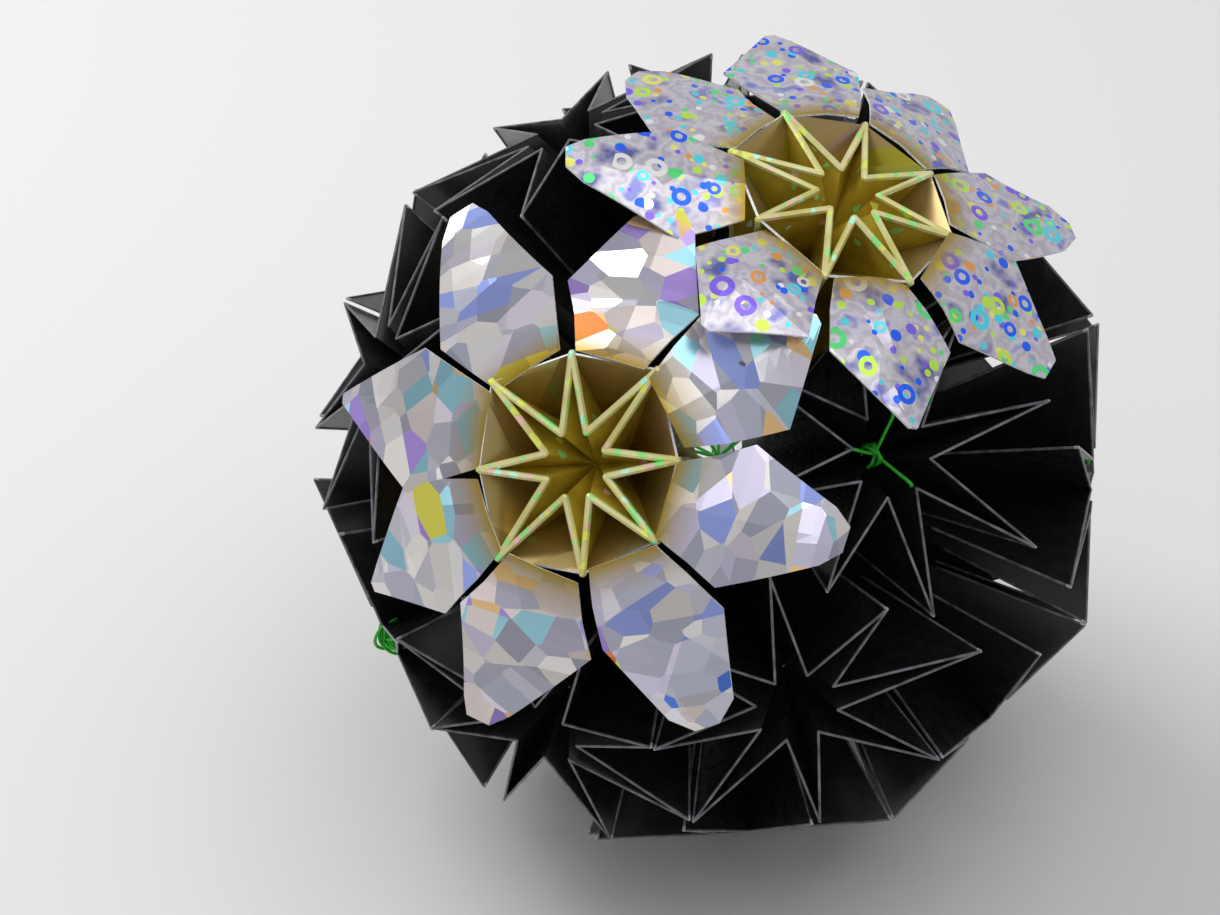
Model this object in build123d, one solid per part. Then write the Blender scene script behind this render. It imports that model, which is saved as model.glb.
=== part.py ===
from build123d import *
import os
from math import acos, atan2, cos, hypot, radians, sin, sqrt

import numpy as np

# A kusudama ball: folded paper stars sewn together through their middles with one
# green thread. Two of the stars are flowers, whose sheets open into eight petals.
# Origin: the middle of the flat that the ball rests on. +Z up, millimetres.

# ---- driving dimensions -------------------------------------------------------
BALL_RADIUS = 62.0       # the tips of all stars lie on this sphere
PAPER = 0.3              # one folded wall of glossy paper, two layers pressed flat
CELL_GAP = 0.4           # clear space between neighbouring stars
ARMS = 8                 # arms of each star, and petals of each flower

RIM_RADIUS = 6.0         # inner corners of a black star's rim, from its axis
RIM_HEIGHT = 57.6        # height of those corners above the ball's middle
LONGEST_ARM = 27.0       # farthest that an arm's tip stands from its star's axis
FOOT_ARM = 20.0          # arm length of the bottom star, whose tips are the feet
DIMPLE_DEPTH = 9.0       # from the rim's inner corners down to the sunk middle
TAIL_TIP = 4.0           # where the pleats would meet, above the ball's middle
TAIL_CUT = 8.0           # where the tails end, around the knot in the middle

FLOWER_RIM_RADIUS = 4.6  # inner corners of a flower's star
FLOWER_RIM_HEIGHT = 60.3
FLOWER_ARM = 16.5        # arm length of a flower's star
FLOWER_DIMPLE = 8.0
PETAL_PAPER = 0.4        # petals of metallised film on paper
PETAL_WIDEST = 25.0      # where a petal is widest, from the flower's axis
PETAL_BASE_WIDTH = 13.0
PETAL_WIDTH = 18.0
PETAL_FOLD = 0.12        # fall of each half petal away from its middle crease
WEB_ROOT = 6.0           # how far under the rim a petal's root starts

THREAD = 0.5             # diameter of the sewing thread
THREAD_HOLE = 1.2        # diameter of the hole that it passes through
KNOT = 2.4               # diameter of the knot in a star's middle
CORE_KNOT_GAP = 0.4      # the middle knot's clear space inside the tails

# Where each star points, as longitude and latitude, and the turn of its first arm
# from level, anticlockwise as seen from outside. All in degrees.
FLOWERS = {
    "silver_flower_front": (-112, 32, 15),
    "silver_flower_top": (-40, 67, 30),
}
STARS = {
    "top": [(157, 65, 12)],
    "upper": [(-61, 32, 0), (24, 37, 20), (87, 41, 5), (151, 11, 33), (-164, 27, 8)],
    "middle": [
        (-79, -3, 10), (-9, 2, 0), (55, -1, 25), (107, -2, 14), (-156, -18, 38), (-117, -13, 20),
    ],
    "lower": [(-83, -47, 28), (-34, -31, 16), (23, -38, 4), (87, -43, 35), (155, -39, 22)],
    "bottom": [(0, -90, 0)],
}
# Each petal's turn from its even place, its pitch and its roll in degrees, and its reach.
PETALS = {
    "silver_flower_front": [
        (4, -4, -6, 38), (3, -15, 4, 37), (4, -16, -4, 37), (7, -4, 5, 39),
        (8, -3, -6, 38), (-2, -7, 6, 37), (-3, -4, -5, 39), (-6, -6, 6, 38),
    ],
    "silver_flower_top": [
        (2, -10, 5, 36), (1, -8, -5, 36), (-1, -10, 5, 36), (-8, -3, -6, 39),
        (-6, -1, 5, 34), (6, -6, -3, 37), (10, -8, 4, 37), (-3, -4, -5, 36),
    ],
}

middle = Vector(0, 0, sqrt(BALL_RADIUS**2 - FOOT_ARM**2))


def direction(longitude, latitude, turn):
    """Unit vector that points at a place on the ball, whatever the star's turn."""
    lon, lat = radians(longitude), radians(latitude)
    return Vector(cos(lat) * cos(lon), cos(lat) * sin(lon), sin(lat))


def frame(axis):
    """Frame of a star: origin in the ball's middle, Z along its axis, Y uphill."""
    across = Vector(0, 0, 1).cross(axis)
    if across.length < 0.01:
        across = Vector(1, 0, 0)
    return Plane(origin=middle, x_dir=across, z_dir=axis)


def local(radius, turn, height):
    """Point of a star in its own frame, turn in degrees."""
    return Vector(radius * cos(radians(turn)), radius * sin(radians(turn)), height)


def free_reach(plane, turn, others):
    """Longest arm at this turn that keeps half the gap to every neighbour's cell."""
    outward = plane.x_dir * cos(radians(turn)) + plane.y_dir * sin(radians(turn))
    reach = LONGEST_ARM
    for other in others:
        wall = (plane.z_dir - other).normalized()
        along, sideways = plane.z_dir.dot(wall), outward.dot(wall)
        if sideways < 0:
            level = CELL_GAP / 2 / BALL_RADIUS / hypot(along, sideways)
            angle = atan2(sideways, along) + acos(level)
            reach = min(reach, BALL_RADIUS * sin(angle))
    return reach


def solid_of(triangles):
    """Closed solid from its flat triangles."""
    faces = [Face(Wire.make_polygon(corners)) for corners in triangles]
    return Solid(Shell(faces))


def star_triangles(inner, outer, sunk, tail):
    """Faces of a star: pairs from the rim to the sunk middle and to the tail."""
    triangles = []
    for k in range(ARMS):
        after = (k + 1) % ARMS
        for a, b in ((inner[k], outer[k]), (outer[k], inner[after])):
            triangles.append((sunk, a, b))
            triangles.append((tail, b, a))
    return triangles


def inset(corner, triangles, depth):
    """The corner moved inwards, to lie this deep under all of its faces."""
    normals = []
    for p, q, r in triangles:
        if corner in (p, q, r):
            normals.append(tuple((q - p).cross(r - p).normalized()))
    levels = [-depth] * len(normals)
    move = np.linalg.lstsq(np.array(normals), np.array(levels), rcond=None)[0]
    return corner + Vector(*(float(v) for v in move))


def folded_star(inner, outer, sunk, tail):
    """The folded sheet: an inner and an outer skin, joined at the rim's fold."""
    skin = star_triangles(inner, outer, sunk, tail)
    room = star_triangles(
        [inset(p, skin, PAPER) for p in inner],
        [inset(p, skin, PAPER) for p in outer],
        inset(sunk, skin, PAPER),
        inset(tail, skin, PAPER),
    )
    sheet = solid_of(skin) - solid_of(room)
    cut = Cylinder(BALL_RADIUS, 2 * TAIL_CUT) + Cylinder(THREAD_HOLE / 2, 2 * BALL_RADIUS)
    return sheet - cut


def black_star(axis, first, others, foot):
    """One black star, its arms filling its cell."""
    plane = frame(axis)
    turns = [first + 360 / ARMS * k for k in range(ARMS)]
    inner = [local(RIM_RADIUS, turn - 180 / ARMS, RIM_HEIGHT) for turn in turns]
    outer = []
    for turn in turns:
        reach = FOOT_ARM if foot else free_reach(plane, turn, others)
        outer.append(local(reach, turn, sqrt(BALL_RADIUS**2 - reach**2)))
    sunk = Vector(0, 0, RIM_HEIGHT - DIMPLE_DEPTH)
    return plane.from_local_coords(folded_star(inner, outer, sunk, Vector(0, 0, TAIL_TIP)))


def plate(corners, thickness):
    """Flat piece of film, half its thickness to each side of the corners."""
    normal = (corners[1] - corners[0]).cross(corners[2] - corners[0]).normalized()
    face = Face(Wire.make_polygon([p - normal * (thickness / 2) for p in corners]))
    return Solid.extrude(face, normal * thickness)


def petal(left, right, root, turn, pitch, roll, reach):
    """One petal: a web from the star's valley, then two halves at a middle crease."""
    hinge = (left + right) * 0.5
    out = local(cos(radians(pitch)), turn, sin(radians(pitch)))
    side = local(1, turn + 90, 0)
    up = out.cross(side)
    side = side * cos(radians(roll)) + up * sin(radians(roll))
    up = out.cross(side)
    start = hinge.dot(local(1, turn, 0))
    plates = [plate([root, left, right], PETAL_PAPER)]
    for hand in (-1, 1):
        def place(distance, half_width):
            across = side * (hand * half_width) - up * (PETAL_FOLD * half_width)
            return hinge + out * (distance - start) + across
        corners = [
            place(start, 0),
            place(start, PETAL_BASE_WIDTH / 2),
            place(PETAL_WIDEST, PETAL_WIDTH / 2),
            place(reach, 0),
        ]
        plates.append(plate(corners, PETAL_PAPER))
    return plates


def flower(axis, first, petals):
    """A star of short arms, whose sheet goes on into one petal between each pair."""
    turns = [first + 360 / ARMS * k for k in range(ARMS)]
    height = sqrt(BALL_RADIUS**2 - FLOWER_ARM**2)
    inner = [local(FLOWER_RIM_RADIUS, t - 180 / ARMS, FLOWER_RIM_HEIGHT) for t in turns]
    outer = [local(FLOWER_ARM, t, height) for t in turns]
    sunk = Vector(0, 0, FLOWER_RIM_HEIGHT - FLOWER_DIMPLE)
    whole = folded_star(inner, outer, sunk, Vector(0, 0, TAIL_TIP))
    plates = []
    for k, (turn, pitch, roll, reach) in enumerate(petals):
        valley = inner[k] * (1 - WEB_ROOT / FLOWER_RIM_HEIGHT)
        middle_turn = turns[k] - 180 / ARMS + turn
        plates += petal(outer[k - 1], outer[k], valley, middle_turn, pitch, roll, reach)
    return frame(axis).from_local_coords(whole.fuse(*plates))


def sewing_thread(rims):
    """One thread: the knot in the ball's middle and a strand to a knot in each star."""
    thread = Sphere((TAIL_CUT - CORE_KNOT_GAP))
    pieces = []
    for axis, rim_radius, rim_height, depth in rims:
        slope = atan2(rim_radius, depth)
        rise = (KNOT / 2 + CELL_GAP) / sin(slope)
        top = rim_height - depth + rise
        plane = Plane(origin=(0, 0, 0), z_dir=axis)
        strand = Cylinder(THREAD / 2, top, align=(Align.CENTER, Align.CENTER, Align.MIN))
        pieces.append(plane * strand)
        pieces.append(plane * Pos(0, 0, top) * Sphere(KNOT / 2))
    return Pos(*middle) * thread.fuse(*pieces)


def main():
    os.makedirs("parts", exist_ok=True)
    places = dict(FLOWERS)
    for ring, ring_places in STARS.items():
        for k, place in enumerate(ring_places):
            places[f"black_star_{ring}_{k + 1}"] = place
    axes = {name: direction(*place) for name, place in places.items()}
    rims = []
    for name, axis in axes.items():
        first = places[name][2]
        if name in FLOWERS:
            node = flower(axis, first, PETALS[name])
            rims.append((axis, FLOWER_RIM_RADIUS, FLOWER_RIM_HEIGHT, FLOWER_DIMPLE))
        else:
            others = [other for label, other in axes.items() if label != name]
            node = black_star(axis, first, others, name.startswith("black_star_bottom"))
            rims.append((axis, RIM_RADIUS, RIM_HEIGHT, DIMPLE_DEPTH))
        export_step(node, f"parts/{name}.step")
    export_step(sewing_thread(rims), "parts/sewing_thread.step")


main()
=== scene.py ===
import math
import random

import bpy
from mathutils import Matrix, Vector


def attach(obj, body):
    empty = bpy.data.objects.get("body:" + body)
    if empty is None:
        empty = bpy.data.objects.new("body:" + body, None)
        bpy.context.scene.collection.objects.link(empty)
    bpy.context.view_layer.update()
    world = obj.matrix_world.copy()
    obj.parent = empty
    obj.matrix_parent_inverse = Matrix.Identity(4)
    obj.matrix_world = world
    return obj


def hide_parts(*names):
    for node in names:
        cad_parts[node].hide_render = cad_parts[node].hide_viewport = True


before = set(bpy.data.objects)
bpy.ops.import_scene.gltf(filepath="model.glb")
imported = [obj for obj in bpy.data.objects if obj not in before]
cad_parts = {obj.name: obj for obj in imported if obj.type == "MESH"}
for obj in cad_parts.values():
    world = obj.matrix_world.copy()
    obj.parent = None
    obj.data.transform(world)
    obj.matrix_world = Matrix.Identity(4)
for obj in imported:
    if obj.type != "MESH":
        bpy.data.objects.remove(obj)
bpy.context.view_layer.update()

MM = 0.001

# ---- the ball's own sizes, in millimetres, as in the folded model --------------
BALL_RADIUS = 62.0
ARMS = 8
CELL_GAP = 0.4
RIM_RADIUS, RIM_HEIGHT, DIMPLE = 6.0, 57.6, 9.0
LONGEST_ARM, FOOT_ARM, TAIL = 27.0, 20.0, 9.0
FLOWER_RIM_RADIUS, FLOWER_RIM_HEIGHT, FLOWER_DIMPLE = 4.6, 60.3, 8.0
FLOWER_ARM = 16.5
PETAL_PAPER = 0.35
FOLD_BLACK, FOLD_GOLD = 0.2, 0.5      # radius of the rounded fold along a rim
ARM_EDGE = 0.45          # share of an arm's outer edge that has a rounded fold
TIP_HIGHLIGHT_LENGTH = 0.012      # share of that edge painted white at the tip: a painted highlight on the corner
TIP_HIGHLIGHT_SWELL = 1.15        # how much thicker the tip's painted highlight is than the fold
VALLEY_DEPTH = 0.8       # where a petal's web starts, as a share of the rim's height
ROD_SIDES = 6
DOME = ((-0.7, 0.55), (0.0, 1.0), (1.0, 1.0), (1.7, 0.55))  # a rod's rings: place in radii, width
FOOT_LATITUDE = -90      # the star on whose tips the ball stands

# ---- a petal's outline and bend, in millimetres --------------------------------
PETAL_BASE = 5.2         # half width where the petal leaves the star
PETAL_SHOULDER = (5, 7.4)             # distance from its base, and half width there
PETAL_WIDEST = (25, 10.2)             # distance from the flower's axis, and half width
PETAL_POINT, PETAL_BLUNT = 0.7, 1.8   # half width at the tip of either kind of petal
BLUNT_SHARE = 0.45       # share of petals whose tip is cut off blunt
BLUNT_CORNER = 2.5       # how far before its tip a blunt petal's corners lie
BASE_LIFT, TIP_DROP = 0.5, 2.2        # rise of the base, and fall of the tip
CREASE_SLOPE = 0.10      # fall of each half away from the middle crease
WAVE_HEIGHT, WAVE_COUNT = 0.5, 5      # the film's slight wave along a petal
GOLD_LENGTH = 4.0        # over which the gold tint fades out along a petal
PETAL_ROWS, PETAL_COLUMNS = 2, 8      # length of a row of faces, and faces across
FILM_STEP = (53, 31)     # how far apart on the film's pattern the petals are cut

# ---- the sewing thread, in millimetres -----------------------------------------
THREAD = 0.5
LOOP_POINTS = 7          # points of a half round loop
LOOP_TALL, LOOP_WIDE = (1.5, 3.5), (1.5, 2.6)   # least and most of a loop's height and half width
KNOT_TOP = 2.6           # where the loops stand, above the star's middle
STRAND_START = 4.0       # where a strand to the rim starts, above the star's middle
STRAND_SAG = (-0.6, 0.3)              # how far a strand hangs down, or stands up, half way
RIM_LIFT, RIM_TUCK = 0.2, 0.04        # a strand's height over the rim, and its share behind it

FLOWERS = {
    "silver_flower_front": (-112, 32, 15),
    "silver_flower_top": (-40, 67, 30),
}
STARS = {
    "top": [(157, 65, 12)],
    "upper": [(-61, 32, 0), (24, 37, 20), (87, 41, 5), (151, 11, 33), (-164, 27, 8)],
    "middle": [
        (-79, -3, 10), (-9, 2, 0), (55, -1, 25), (107, -2, 14), (-156, -18, 38), (-117, -13, 20),
    ],
    "lower": [(-83, -47, 28), (-34, -31, 16), (23, -38, 4), (87, -43, 35), (155, -39, 22)],
    "bottom": [(0, -90, 0)],
}
# Each petal's turn from its even place, its pitch and its roll in degrees, and its reach.
PETALS = {
    "silver_flower_front": [
        (4, -4, -6, 38), (3, -15, 4, 37), (4, -16, -4, 37), (7, -4, 5, 39),
        (8, -3, -6, 38), (-2, -7, 6, 37), (-3, -4, -5, 39), (-6, -6, 6, 38),
    ],
    "silver_flower_top": [
        (2, -10, 5, 36), (1, -8, -5, 36), (-1, -10, 5, 36), (-8, -3, -6, 39),
        (-6, -1, 5, 34), (6, -6, -3, 37), (10, -8, 4, 37), (-3, -4, -5, 36),
    ],
}
# Stars whose thread is left in loops over the knot: how many, and how wide they stand.
THREAD_LOOPS = {
    "black_star_upper_1": (5, 0.8), "black_star_middle_2": (5, 0.8), "black_star_lower_1": (6, 0.9),
    "black_star_middle_5": (18, 2.6), "black_star_upper_4": (5, 0.8),
}
MIDDLE = Vector((0, 0, math.sqrt(BALL_RADIUS**2 - FOOT_ARM**2)))


# ---- materials -----------------------------------------------------------------
def colour(hex_code):
    """An sRGB hex value as linear RGBA."""
    parts = [int(hex_code[i:i + 2], 16) / 255 for i in (0, 2, 4)]
    linear = [c / 12.92 if c <= 0.04045 else ((c + 0.055) / 1.055) ** 2.4 for c in parts]
    return (*linear, 1.0)


def node(tree, kind, settings=None, values=None, links=None):
    """Adds one node with its settings, its socket values and its incoming links."""
    made = tree.nodes.new(kind)
    for key, value in (settings or {}).items():
        setattr(made, key, value)
    for key, value in (values or {}).items():
        made.inputs[key].default_value = value
    for key, source in (links or {}).items():
        tree.links.new(source, made.inputs[key])
    return made


def material(name):
    """A new node material with only its Principled shader and output."""
    made = bpy.data.materials.new(name)
    made.use_nodes = True
    return made, made.node_tree, made.node_tree.nodes["Principled BSDF"]


def ramp(tree, source, stops, constant=False):
    """A colour ramp over (place, hex) stops."""
    made = node(tree, "ShaderNodeValToRGB", links={"Fac": source})
    made.color_ramp.interpolation = "CONSTANT" if constant else "LINEAR"
    elements = made.color_ramp.elements
    while len(elements) < len(stops):
        elements.new(0.5)
    for element, (place, hex_code) in zip(elements, stops):
        element.position = place
        element.color = colour(hex_code)
    return made.outputs["Color"]


def black_paper(name, face, rough):
    """Glossy lacquered paper in the given colours, with faint fibres under the lacquer: near black for
    the faces, lighter grey for the folds' painted highlight.
    """
    made, tree, shader = material(name)
    place = node(tree, "ShaderNodeTexCoord").outputs["Object"]
    fibres = node(tree, "ShaderNodeTexNoise", values={"Scale": 1 / (2 * MM), "Detail": 5.0},
                  links={"Vector": place})
    sheen = node(tree, "ShaderNodeMapRange", values={"To Min": rough * 0.8, "To Max": rough * 1.3},
                 links={"Value": fibres.outputs["Fac"]})
    bump = node(tree, "ShaderNodeBump", values={"Strength": 0.06, "Distance": 0.2 * MM},
                links={"Height": fibres.outputs["Fac"]})
    tree.links.new(ramp(tree, fibres.outputs["Fac"], face), shader.inputs["Base Color"])
    tree.links.new(sheen.outputs["Result"], shader.inputs["Roughness"])
    tree.links.new(bump.outputs["Normal"], shader.inputs["Normal"])
    return made


def gold_film(name, face, sparkle):
    """Film tinted gold: a satin yellow with small painted glints of green and pink, the holographic
    film's painted highlights under the tint.
    """
    made, tree, shader = material(name)
    place = node(tree, "ShaderNodeTexCoord").outputs["Object"]
    glints = node(tree, "ShaderNodeTexVoronoi", values={"Scale": 1 / (1.1 * MM)},
                  links={"Vector": place})
    picked = node(tree, "ShaderNodeSeparateColor", links={"Color": glints.outputs["Color"]})
    cloud = node(tree, "ShaderNodeTexNoise", values={"Scale": 1 / (5 * MM)}, links={"Vector": place})
    base = ramp(tree, cloud.outputs["Fac"], face)
    hue = ramp(tree, picked.outputs["Green"],
               [(0.0, "9CF08A"), (0.4, "C8FFE0"), (0.6, "F4C8B8"), (0.8, "E8F070")], True)
    # painted glints: a small share of cells takes a bright green or pink
    share = node(tree, "ShaderNodeMath", {"operation": "GREATER_THAN"}, {1: 1 - sparkle},
                 {0: picked.outputs["Red"]})
    mixed = node(tree, "ShaderNodeMix", {"data_type": "RGBA"},
                 links={"Factor": share.outputs[0], "A": base, "B": hue})
    tree.links.new(mixed.outputs["Result"], shader.inputs["Base Color"])
    shader.inputs["Metallic"].default_value = 0.35
    shader.inputs["Roughness"].default_value = 0.36
    return made


def gold_fade(tree, film):
    """Film colour that turns to gold where the gold attribute is high."""
    gold = node(tree, "ShaderNodeAttribute", {"attribute_name": "gold"})
    mixed = node(tree, "ShaderNodeMix", {"data_type": "RGBA"}, {"B": colour("A88A20")},
                 {"Factor": gold.outputs["Fac"], "A": film})
    return mixed.outputs["Result"]


def crystal_film(name):
    """Holographic film pressed with shards: each shard tilts and tints on its own."""
    made, tree, shader = material(name)
    place = node(tree, "ShaderNodeUVMap", {"uv_map": "film"}).outputs["UV"]
    shards = []
    for size, turn in ((4.0, 0.4), (5.2, 1.5)):
        turned = node(tree, "ShaderNodeMapping", values={"Rotation": (0, 0, turn),
                      "Scale": (1 / size, 0.6 / size, 1)}, links={"Vector": place})
        cells = node(tree, "ShaderNodeTexVoronoi", {"voronoi_dimensions": "2D"}, {"Scale": 1.0},
                     {"Vector": turned.outputs["Vector"]})
        shards.append(cells.outputs["Color"])
    both = node(tree, "ShaderNodeMix", {"data_type": "RGBA"}, {"Factor": 0.5},
                {"A": shards[0], "B": shards[1]})
    parts = node(tree, "ShaderNodeSeparateColor", links={"Color": both.outputs["Result"]})
    hue = ramp(tree, parts.outputs["Red"], [
        (0.0, "5F8DF6"), (0.10, "A3B2F4"), (0.21, "C6C8D8"), (0.29, "F0ECEA"), (0.37, "C6C6D0"),
        (0.44, "DCDAE2"), (0.50, "F6F0EA"), (0.56, "B4B4C4"), (0.61, "D2CCE2"), (0.67, "EEE6F0"),
        (0.72, "A6DCEA"), (0.77, "B79BE8"), (0.81, "E8DCD8"), (0.86, "F0C890"), (0.90, "E8E060"),
        (0.94, "F08A50")], True)
    shade = node(tree, "ShaderNodeMapRange", values={"From Min": 0.2, "From Max": 0.8,
                 "To Min": 0.66, "To Max": 1.08}, links={"Value": parts.outputs["Green"]})
    tinted = node(tree, "ShaderNodeVectorMath", {"operation": "SCALE"},
                  links={0: hue, "Scale": shade.outputs["Result"]})
    tree.links.new(gold_fade(tree, tinted.outputs["Vector"]), shader.inputs["Base Color"])
    tilt_cells(tree, shader, both.outputs["Result"], 0.55)
    shader.inputs["Metallic"].default_value = 0.75
    shader.inputs["Roughness"].default_value = 0.24
    return made


def tilt_cells(tree, shader, cells, amount):
    """Turns the surface's normal a little, by another amount in each cell."""
    normal = node(tree, "ShaderNodeNewGeometry").outputs["Normal"]
    centred = node(tree, "ShaderNodeVectorMath", {"operation": "SUBTRACT"}, {1: (0.5, 0.5, 0.5)},
                   {0: cells})
    scaled = node(tree, "ShaderNodeVectorMath", {"operation": "SCALE"}, {"Scale": amount},
                  {0: centred.outputs["Vector"]})
    added = node(tree, "ShaderNodeVectorMath", {"operation": "ADD"},
                 links={0: normal, 1: scaled.outputs["Vector"]})
    unit = node(tree, "ShaderNodeVectorMath", {"operation": "NORMALIZE"},
                links={0: added.outputs["Vector"]})
    tree.links.new(unit.outputs["Vector"], shader.inputs["Normal"])


def bubble_film(name):
    """Holographic film with dots and rings, each of its own bright colour."""
    made, tree, shader = material(name)
    place = node(tree, "ShaderNodeUVMap", {"uv_map": "film"}).outputs["UV"]
    cloud = node(tree, "ShaderNodeTexNoise", {"noise_dimensions": "2D"},
                 {"Scale": 0.16, "Detail": 3.0}, {"Vector": place})
    film = ramp(tree, cloud.outputs["Fac"], [
        (0.28, "6468A8"), (0.38, "B4B0C4"), (0.46, "D8D4D8"), (0.54, "BDB6C2"), (0.62, "D6D2DC"),
        (0.72, "8C8FCC")])
    for size, rings in ((1.7, False), (2.9, False), (5.0, True)):
        cells = node(tree, "ShaderNodeTexVoronoi", {"voronoi_dimensions": "2D"},
                     {"Scale": 1 / size, "Randomness": 0.75}, {"Vector": place})
        parts = node(tree, "ShaderNodeSeparateColor", links={"Color": cells.outputs["Color"]})
        radius = node(tree, "ShaderNodeMapRange", values={"To Min": 0.18, "To Max": 0.34},
                      links={"Value": parts.outputs["Green"]})
        inside = node(tree, "ShaderNodeMath", {"operation": "LESS_THAN"},
                      links={0: cells.outputs["Distance"], 1: radius.outputs["Result"]})
        shown = node(tree, "ShaderNodeMath", {"operation": "GREATER_THAN"},
                     {1: 0.45 if rings else 0.6}, {0: parts.outputs["Blue"]})
        mask = node(tree, "ShaderNodeMath", {"operation": "MULTIPLY"},
                    links={0: inside.outputs[0], 1: shown.outputs[0]})
        if rings:
            inner = node(tree, "ShaderNodeMath", {"operation": "MULTIPLY"}, {1: 0.45},
                         {0: radius.outputs["Result"]})
            open_middle = node(tree, "ShaderNodeMath", {"operation": "GREATER_THAN"},
                               links={0: cells.outputs["Distance"], 1: inner.outputs[0]})
            mask = node(tree, "ShaderNodeMath", {"operation": "MULTIPLY"},
                        links={0: mask.outputs[0], 1: open_middle.outputs[0]})
        hue = ramp(tree, parts.outputs["Red"], [
            (0.0, "2E6BFF"), (0.16, "5FE0F0"), (0.32, "C8F25A"), (0.48, "F4F07A"), (0.60, "63E88A"),
            (0.72, "8A6CF0"), (0.84, "F0A860"), (0.93, "F4F4F0")], True)
        mixed = node(tree, "ShaderNodeMix", {"data_type": "RGBA"},
                     links={"Factor": mask.outputs[0], "A": film, "B": hue})
        film = mixed.outputs["Result"]
    tree.links.new(gold_fade(tree, film), shader.inputs["Base Color"])
    tilt_cells(tree, shader, cells.outputs["Color"], 0.12)
    shader.inputs["Metallic"].default_value = 0.65
    shader.inputs["Roughness"].default_value = 0.26
    return made


def plain(name, hex_code, rough, metal=0.0, grain=0.4):
    """A surface of one finish, its colour broken by a fine grain."""
    made, tree, shader = material(name)
    place = node(tree, "ShaderNodeTexCoord").outputs["Object"]
    noise = node(tree, "ShaderNodeTexNoise", values={"Scale": 1 / (grain * MM)},
                 links={"Vector": place})
    dark = "".join(f"{int(int(hex_code[i:i + 2], 16) * 0.8):02X}" for i in (0, 2, 4))
    tree.links.new(ramp(tree, noise.outputs["Fac"], [(0.3, dark), (0.7, hex_code)]),
                   shader.inputs["Base Color"])
    shader.inputs["Roughness"].default_value = rough
    shader.inputs["Metallic"].default_value = metal
    return made


PAPER_BLACK = black_paper("black_lacquered_paper", [(0.3, "0E0E10"), (0.7, "161618")], 0.26)
# White tips of the black arms: a painted highlight where the rounded corners catch the light.
PAPER_TIP_HIGHLIGHT = plain("white_corner_painted_highlight", "B8B8BC", 0.3)
# Lighter grey rods along the rims and arm edges: a painted highlight on the rounded folds.
PAPER_FOLD_HIGHLIGHT = black_paper("black_fold_painted_highlight", [(0.3, "3A3A3E"), (0.7, "7A7A80")], 0.3)
GOLD = gold_film("gold_tinted_film", [(0.35, "B0942A"), (0.65, "D2BC40")], 0.03)
# Paler gold with more glints on the star's rims and tips: a painted highlight on the rounded folds.
GOLD_FOLD_HIGHLIGHT = gold_film("gold_fold_painted_highlight", [(0.35, "D2C878"), (0.65, "E2E0A8")], 0.22)
FILMS = {
    "silver_flower_front": (crystal_film("crystal_holographic_film"), "crystal_film"),
    "silver_flower_top": (bubble_film("bubble_holographic_film"), "bubble_film"),
}
FILM_EDGE = plain("white_film_edge", "F0F0F2", 0.4)
GREEN = plain("spun_green_thread", "2FC42A", 0.55)


# ---- geometry ------------------------------------------------------------------
def direction(place):
    """Unit vector that points at a place on the ball."""
    lon, lat = math.radians(place[0]), math.radians(place[1])
    return Vector((math.cos(lat) * math.cos(lon), math.cos(lat) * math.sin(lon), math.sin(lat)))


def axes_of(axis):
    """Level and uphill directions of a star, and its axis."""
    across = Vector((0, 0, 1)).cross(axis)
    across = Vector((1, 0, 0)) if across.length < 0.01 else across.normalized()
    return across, axis.cross(across), axis


def placed(axes, radius, turn, height):
    """Point of a star as a place in the ball's frame, in millimetres."""
    a = math.radians(turn)
    x, y, z = axes
    return MIDDLE + x * (radius * math.cos(a)) + y * (radius * math.sin(a)) + z * height


def free_reach(axes, turn, others):
    """Longest arm at this turn that keeps half the gap to every neighbour's cell."""
    a = math.radians(turn)
    outward = axes[0] * math.cos(a) + axes[1] * math.sin(a)
    reach = LONGEST_ARM
    for other in others:
        wall = (axes[2] - other).normalized()
        along, sideways = axes[2].dot(wall), outward.dot(wall)
        if sideways < 0:
            level = CELL_GAP / 2 / BALL_RADIUS / math.hypot(along, sideways)
            angle = math.atan2(sideways, along) + math.acos(level)
            reach = min(reach, BALL_RADIUS * math.sin(angle))
    return reach


def finish_piece(name, verts, faces, slots, indices, uvs=None, gold=None):
    """One mesh piece at the origin, from points in millimetres."""
    mesh = bpy.data.meshes.new(name)
    mesh.from_pydata([tuple(v * MM) for v in verts], [], faces)
    for slot_material in slots:
        mesh.materials.append(slot_material)
    for polygon, index in zip(mesh.polygons, indices):
        polygon.material_index = index
    if uvs:
        layer = mesh.uv_layers.new(name="film")
        for loop in mesh.loops:
            layer.data[loop.index].uv = uvs[loop.vertex_index]
    if gold:
        attribute = mesh.attributes.new("gold", "FLOAT", "POINT")
        for k, value in enumerate(gold):
            attribute.data[k].value = value
    made = bpy.data.objects.new(name, mesh)
    bpy.context.collection.objects.link(made)
    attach(made, "root")
    return made


def rod(verts, faces, indices, start, end, radius, index, sides=ROD_SIDES):
    """Adds a rounded fold between two points: a six-sided rod with domed ends."""
    along = (end - start).normalized()
    side = along.orthogonal().normalized()
    other = along.cross(side)
    base = len(verts)
    for place, scale in DOME:
        if place <= 0:
            at = start + along * (place * radius)
        else:
            at = end + along * ((place - 1) * radius)
        for k in range(sides):
            a = 2 * math.pi * k / sides
            verts.append(at + (side * math.cos(a) + other * math.sin(a)) * (radius * scale))
    for ring in range(len(DOME) - 1):
        for k in range(sides):
            a, b = base + ring * sides + k, base + ring * sides + (k + 1) % sides
            faces.append((a, b, b + sides, a + sides))
            indices.append(index)
    faces.append(tuple(base + k for k in reversed(range(sides))))
    faces.append(tuple(base + (len(DOME) - 1) * sides + k for k in range(sides)))
    indices.extend([index, index])


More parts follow.
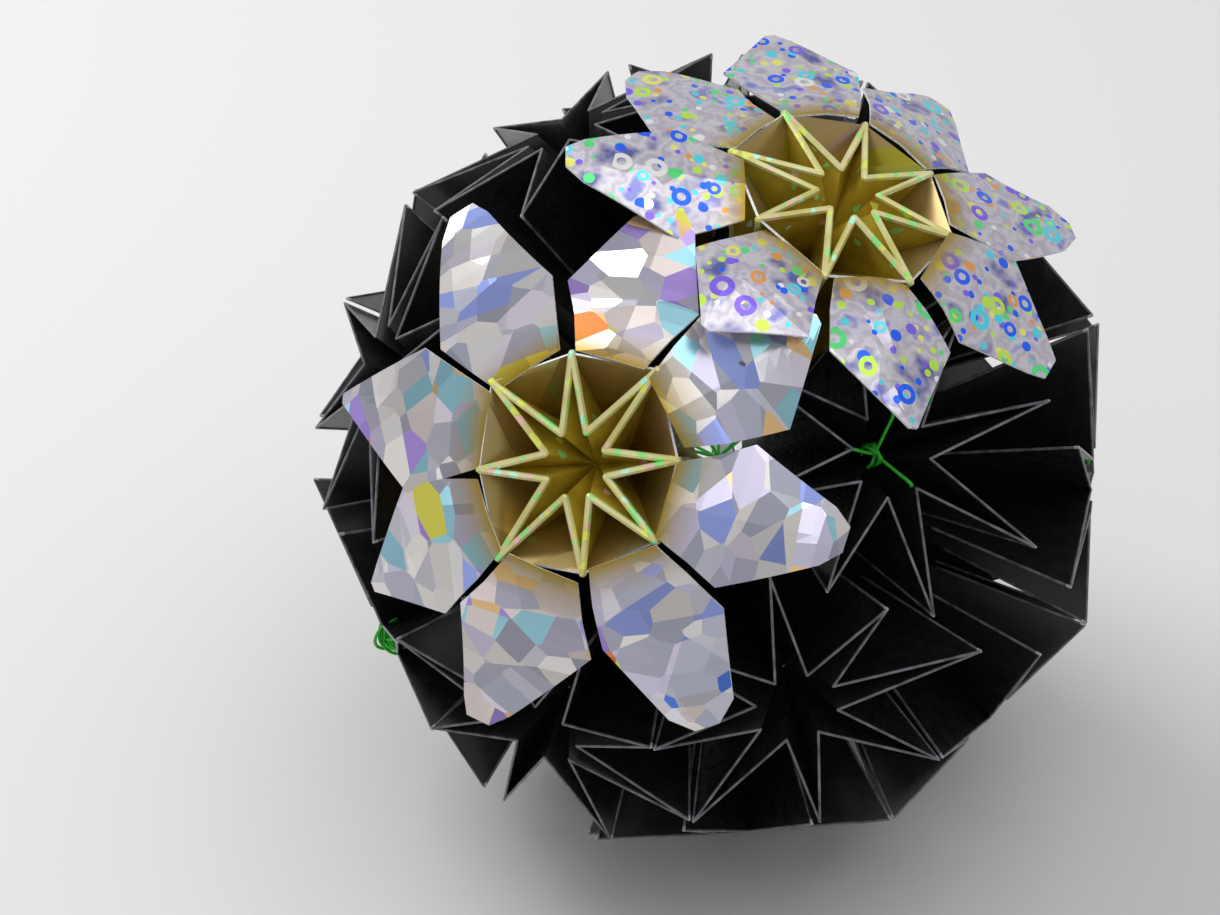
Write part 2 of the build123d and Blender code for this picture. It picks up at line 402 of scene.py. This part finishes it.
def star_shape(axes, inner_spec, outer, dimple, fold_radius):
    """Points and faces of a pleated star: skins inside and outside, and rounded rims."""
    rim_radius, rim_height, first = inner_spec
    inner = [placed(axes, rim_radius, first + 360 / ARMS * (k - 0.5), rim_height)
             for k in range(ARMS)]
    sunk = placed(axes, 0, 0, rim_height - dimple)
    tail = placed(axes, 0, 0, TAIL)
    verts = inner + outer + [sunk, tail]
    faces, indices = [], []
    for k in range(ARMS):
        after = (k + 1) % ARMS
        for a, b in ((k, ARMS + k), (ARMS + k, after)):
            faces += [(2 * ARMS, a, b), (2 * ARMS + 1, b, a)]
            indices += [0, 0]
    for k in range(ARMS):
        # rounded folds along the rims and arm edges, in the lighter fold material: a painted highlight
        for a, b in ((inner[k], outer[k]), (outer[k], inner[(k + 1) % ARMS])):
            rod(verts, faces, indices, a, b, fold_radius, 1)
        rod(verts, faces, indices, outer[k], outer[k].lerp(tail, ARM_EDGE), fold_radius, 1)
        # the arm's tip takes the white material: a painted highlight on the corner
        tip_highlight_end = outer[k].lerp(tail, TIP_HIGHLIGHT_LENGTH)
        rod(verts, faces, indices, outer[k], tip_highlight_end, fold_radius * TIP_HIGHLIGHT_SWELL, 2)
    return verts, faces, indices, inner, sunk


def black_star(name, place, others):
    """One black star, its arms filling its cell."""
    axes = axes_of(direction(place))
    outer = []
    for k in range(ARMS):
        turn = place[2] + 360 / ARMS * k
        reach = FOOT_ARM if place[1] == FOOT_LATITUDE else free_reach(axes, turn, others)
        outer.append(placed(axes, reach, turn, math.sqrt(BALL_RADIUS**2 - reach**2)))
    spec = (RIM_RADIUS, RIM_HEIGHT, place[2])
    verts, faces, indices, inner, sunk = star_shape(axes, spec, outer, DIMPLE, FOLD_BLACK)
    made = finish_piece(name + "_fold", verts, faces, [PAPER_BLACK, PAPER_FOLD_HIGHLIGHT, PAPER_TIP_HIGHLIGHT], indices)
    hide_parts(name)
    return inner, sunk


def petal_shape(axes, left, right, valley, petal, even_turn, shift):
    """One petal as a bent grid, with its web down to the star's valley."""
    turn, pitch, roll, reach = petal
    hinge = (left + right) * 0.5
    flat = placed(axes, 1, even_turn + turn, 0) - MIDDLE
    out = flat * math.cos(math.radians(pitch)) + axes[2] * math.sin(math.radians(pitch))
    side = placed(axes, 1, even_turn + turn + 90, 0) - MIDDLE
    up = out.cross(side)
    side = side * math.cos(math.radians(roll)) + up * math.sin(math.radians(roll))
    up = out.cross(side)
    start = (hinge - MIDDLE).dot(flat)
    draw = random.Random(shift)
    wide = PETAL_WIDEST[0] + draw.uniform(-2.5, 2)
    lean = draw.uniform(-2.5, 2.5)
    start += draw.uniform(-1.5, 0.5)
    corner = (reach - BLUNT_CORNER, draw.uniform(3.5, 5.5))
    outline = [(start, PETAL_BASE), (start + PETAL_SHOULDER[0], PETAL_SHOULDER[1])]
    outline.append((wide, PETAL_WIDEST[1] + draw.uniform(-0.9, 0.3)))
    if draw.random() < BLUNT_SHARE:
        outline += [corner, (reach, PETAL_BLUNT)]
    else:
        outline.append((reach, PETAL_POINT))
    uneven = draw.uniform(-0.14, 0.14)
    verts, faces, uvs, gold = [], [], [], []
    across = PETAL_COLUMNS
    stations = []
    for (s0, w0), (s1, w1) in zip(outline, outline[1:]):
        steps = max(1, round((s1 - s0) / PETAL_ROWS))
        stations += [(s0 + (s1 - s0) * i / steps, w0 + (w1 - w0) * i / steps) for i in range(steps)]
    stations.append(outline[-1])
    for s, width in stations:
        share = (s - start) / (reach - start)
        bend = BASE_LIFT * (1 - share) - TIP_DROP * share**2
        wave = WAVE_HEIGHT * math.sin(WAVE_COUNT * share + shift)
        for j in range(across + 1):
            y = width * (2 * j / across - 1)
            y = y * (1 + math.copysign(uneven, y)) + lean * share**2
            rise = bend + wave - CREASE_SLOPE * abs(y)
            verts.append(hinge + out * (s - start) + side * y + up * rise)
            uvs.append((s + FILM_STEP[0] * shift, y + FILM_STEP[1] * shift))
            gold.append(max(0.0, 1 - (s - start) / GOLD_LENGTH))
    for i in range(len(stations) - 1):
        for j in range(across):
            a = i * (across + 1) + j
            faces.append((a, a + across + 1, a + across + 2, a + 1))
    base = len(verts)
    for point in (valley, left, right):
        verts.append(point)
        uvs.append((len(verts) * 3.1, shift * 7.0))
        gold.append(1.0 if point == valley else 0.8)
    faces.append((base, base + 1, base + 2))
    return verts, faces, uvs, gold


def flower(name, place):
    """A golden star, with eight petals of film between its arms."""
    film, slot_name = FILMS[name]
    axes = axes_of(direction(place))
    height = math.sqrt(BALL_RADIUS**2 - FLOWER_ARM**2)
    draw = random.Random(place[2])
    outer = [placed(axes, FLOWER_ARM - draw.uniform(-0.8, 2.2), place[2] + 360 / ARMS * k, height)
             for k in range(ARMS)]
    spec = (FLOWER_RIM_RADIUS, FLOWER_RIM_HEIGHT, place[2])
    verts, faces, indices, inner, sunk = star_shape(axes, spec, outer, FLOWER_DIMPLE, FOLD_GOLD)
    star = finish_piece(name + "_star", verts, faces, [GOLD, GOLD_FOLD_HIGHLIGHT, GOLD_FOLD_HIGHLIGHT], indices)
    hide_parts(name)
    for k, petal in enumerate(PETALS[name]):
        even = place[2] + 360 / ARMS * (k - 0.5)
        valley = MIDDLE + (inner[k] - MIDDLE) * VALLEY_DEPTH
        verts, faces, uvs, gold = petal_shape(axes, outer[k - 1], outer[k], valley, petal, even, k + 1)
        made = finish_piece(f"{name}_petal_{k + 1}", verts, faces, [film, FILM_EDGE],
                            [0] * len(faces), uvs, gold)
        wall = made.modifiers.new("wall", "SOLIDIFY")
        wall.thickness = PETAL_PAPER * MM
        wall.offset = 0
        wall.material_offset_rim = 1
        for polygon in made.data.polygons:
            polygon.use_smooth = False


def thread_loops(name, axes, inner, sunk, count, spread):
    """Loops of thread round the knot in a star's middle, and strands to its rim."""
    draw = random.Random(name)
    curve = bpy.data.curves.new(name, "CURVE")
    curve.dimensions = "3D"
    curve.bevel_depth = THREAD / 2 * MM
    curve.bevel_resolution = 2
    routes = []
    for k in range(count):
        turn = draw.uniform(0, 360)
        tall = draw.uniform(*LOOP_TALL) * spread
        route = []
        for step in range(LOOP_POINTS):
            a = math.pi * step / (LOOP_POINTS - 1)
            lift = math.sin(a) * tall
            out = math.cos(a) * draw.uniform(*LOOP_WIDE) * spread
            route.append(sunk + axes[2] * (KNOT_TOP + lift) + (placed(axes, out, turn, 0) - MIDDLE))
        routes.append(route)
    for k in draw.sample(range(ARMS), 2 + count // 4):
        end = inner[k] + (placed(axes, 0, 0, RIM_LIFT) - MIDDLE)
        start = sunk + axes[2] * STRAND_START
        sag = start.lerp(end, 0.5) + axes[2] * draw.uniform(*STRAND_SAG)
        routes.append([start, sag, end, inner[k].lerp(MIDDLE, RIM_TUCK)])
    for route in routes:
        spline = curve.splines.new("NURBS")
        spline.points.add(len(route) - 1)
        for point, at in zip(spline.points, route):
            point.co = (*(at * MM), 1)
        spline.order_u = 3
        spline.use_endpoint_u = True
    source = bpy.data.objects.new(name + "_route", curve)
    bpy.context.collection.objects.link(source)
    mesh = bpy.data.meshes.new_from_object(source)
    bpy.data.objects.remove(source)
    mesh.materials.clear()
    mesh.materials.append(GREEN)
    made = bpy.data.objects.new(name, mesh)
    bpy.context.collection.objects.link(made)
    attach(made, "root")


def thread_strands(ends):
    """The straight runs of the thread, from the ball's middle to each star's middle."""
    verts, faces, indices = [], [], []
    for end in ends:
        rod(verts, faces, indices, MIDDLE, end, THREAD / 2, 0)
    made = finish_piece("thread_strands", verts, faces, [GREEN], indices)
    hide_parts("sewing_thread")


def build_ball():
    """All stars and flowers at their places."""
    places = dict(FLOWERS)
    for ring, ring_places in STARS.items():
        for k, place in enumerate(ring_places):
            places[f"black_star_{ring}_{k + 1}"] = place
    ends = []
    for name, place in places.items():
        if name in FLOWERS:
            flower(name, place)
            continue
        others = [direction(other) for label, other in places.items() if label != name]
        inner, sunk = black_star(name, place, others)
        ends.append(sunk)
        count, spread = THREAD_LOOPS.get(name, (0, 0))
        if count:
            thread_loops(name + "_thread", axes_of(direction(place)), inner, sunk, count, spread)
    thread_strands(ends)


build_ball()


# ---- stage: pale floor, soft light, camera; metres, watts and degrees -----------
FLOOR_WIDTH = 8
LAMPS = {                # each lamp's place, width and power
    "window_left": ((-0.5, 0.35, 0.7), 0.6, 4.5),
    "ceiling": ((0.2, -0.2, 1.0), 0.8, 2.5),
}
SKY_STRENGTH = 0.62
CAMERA_ELEVATION = 35
CAMERA_DISTANCE = 7 * BALL_RADIUS * MM
CAMERA_LENS, CAMERA_SHIFT = 82.6, -0.0885


def stage_floor():
    """A wide, pale, matte floor under the ball, which takes its shadow."""
    bpy.ops.mesh.primitive_plane_add(size=FLOOR_WIDTH, location=(0, 0, 0))
    floor = bpy.context.object
    floor.name = "floor"
    made, _, shader = material("pale_matte_floor")
    shader.inputs["Base Color"].default_value = colour("DEDCDB")
    shader.inputs["Roughness"].default_value = 0.7
    floor.data.materials.append(made)


def soft_lamp(name, place, size, watts):
    """A large square lamp that looks at the ball."""
    lamp = bpy.data.lights.new(name, "AREA")
    lamp.size = size
    lamp.energy = watts
    made = bpy.data.objects.new(name, lamp)
    made.location = place
    aim = MIDDLE * MM - Vector(place)
    made.rotation_euler = aim.to_track_quat("-Z", "Y").to_euler()
    bpy.context.collection.objects.link(made)


def set_camera(elevation, distance, lens, shift):
    """A camera in front that looks down at the ball's middle."""
    camera = bpy.data.cameras.new("camera")
    camera.lens = lens
    camera.shift_x = shift
    camera.clip_start = 0.01
    made = bpy.data.objects.new("camera", camera)
    e = math.radians(elevation)
    made.location = MIDDLE * MM + Vector((0, -math.cos(e), math.sin(e))) * distance
    made.rotation_euler = (math.radians(90 - elevation), 0, 0)
    bpy.context.collection.objects.link(made)
    bpy.context.scene.camera = made


stage_floor()
for lamp_name, (lamp_place, lamp_width, lamp_power) in LAMPS.items():
    soft_lamp(lamp_name, lamp_place, lamp_width, lamp_power)
set_camera(CAMERA_ELEVATION, CAMERA_DISTANCE, CAMERA_LENS, CAMERA_SHIFT)
world = bpy.data.worlds.new("studio")
world.use_nodes = True
world.node_tree.nodes["Background"].inputs["Color"].default_value = colour("F4F5F8")
world.node_tree.nodes["Background"].inputs["Strength"].default_value = SKY_STRENGTH
bpy.context.scene.world = world
bpy.context.scene.view_settings.view_transform = "Standard"
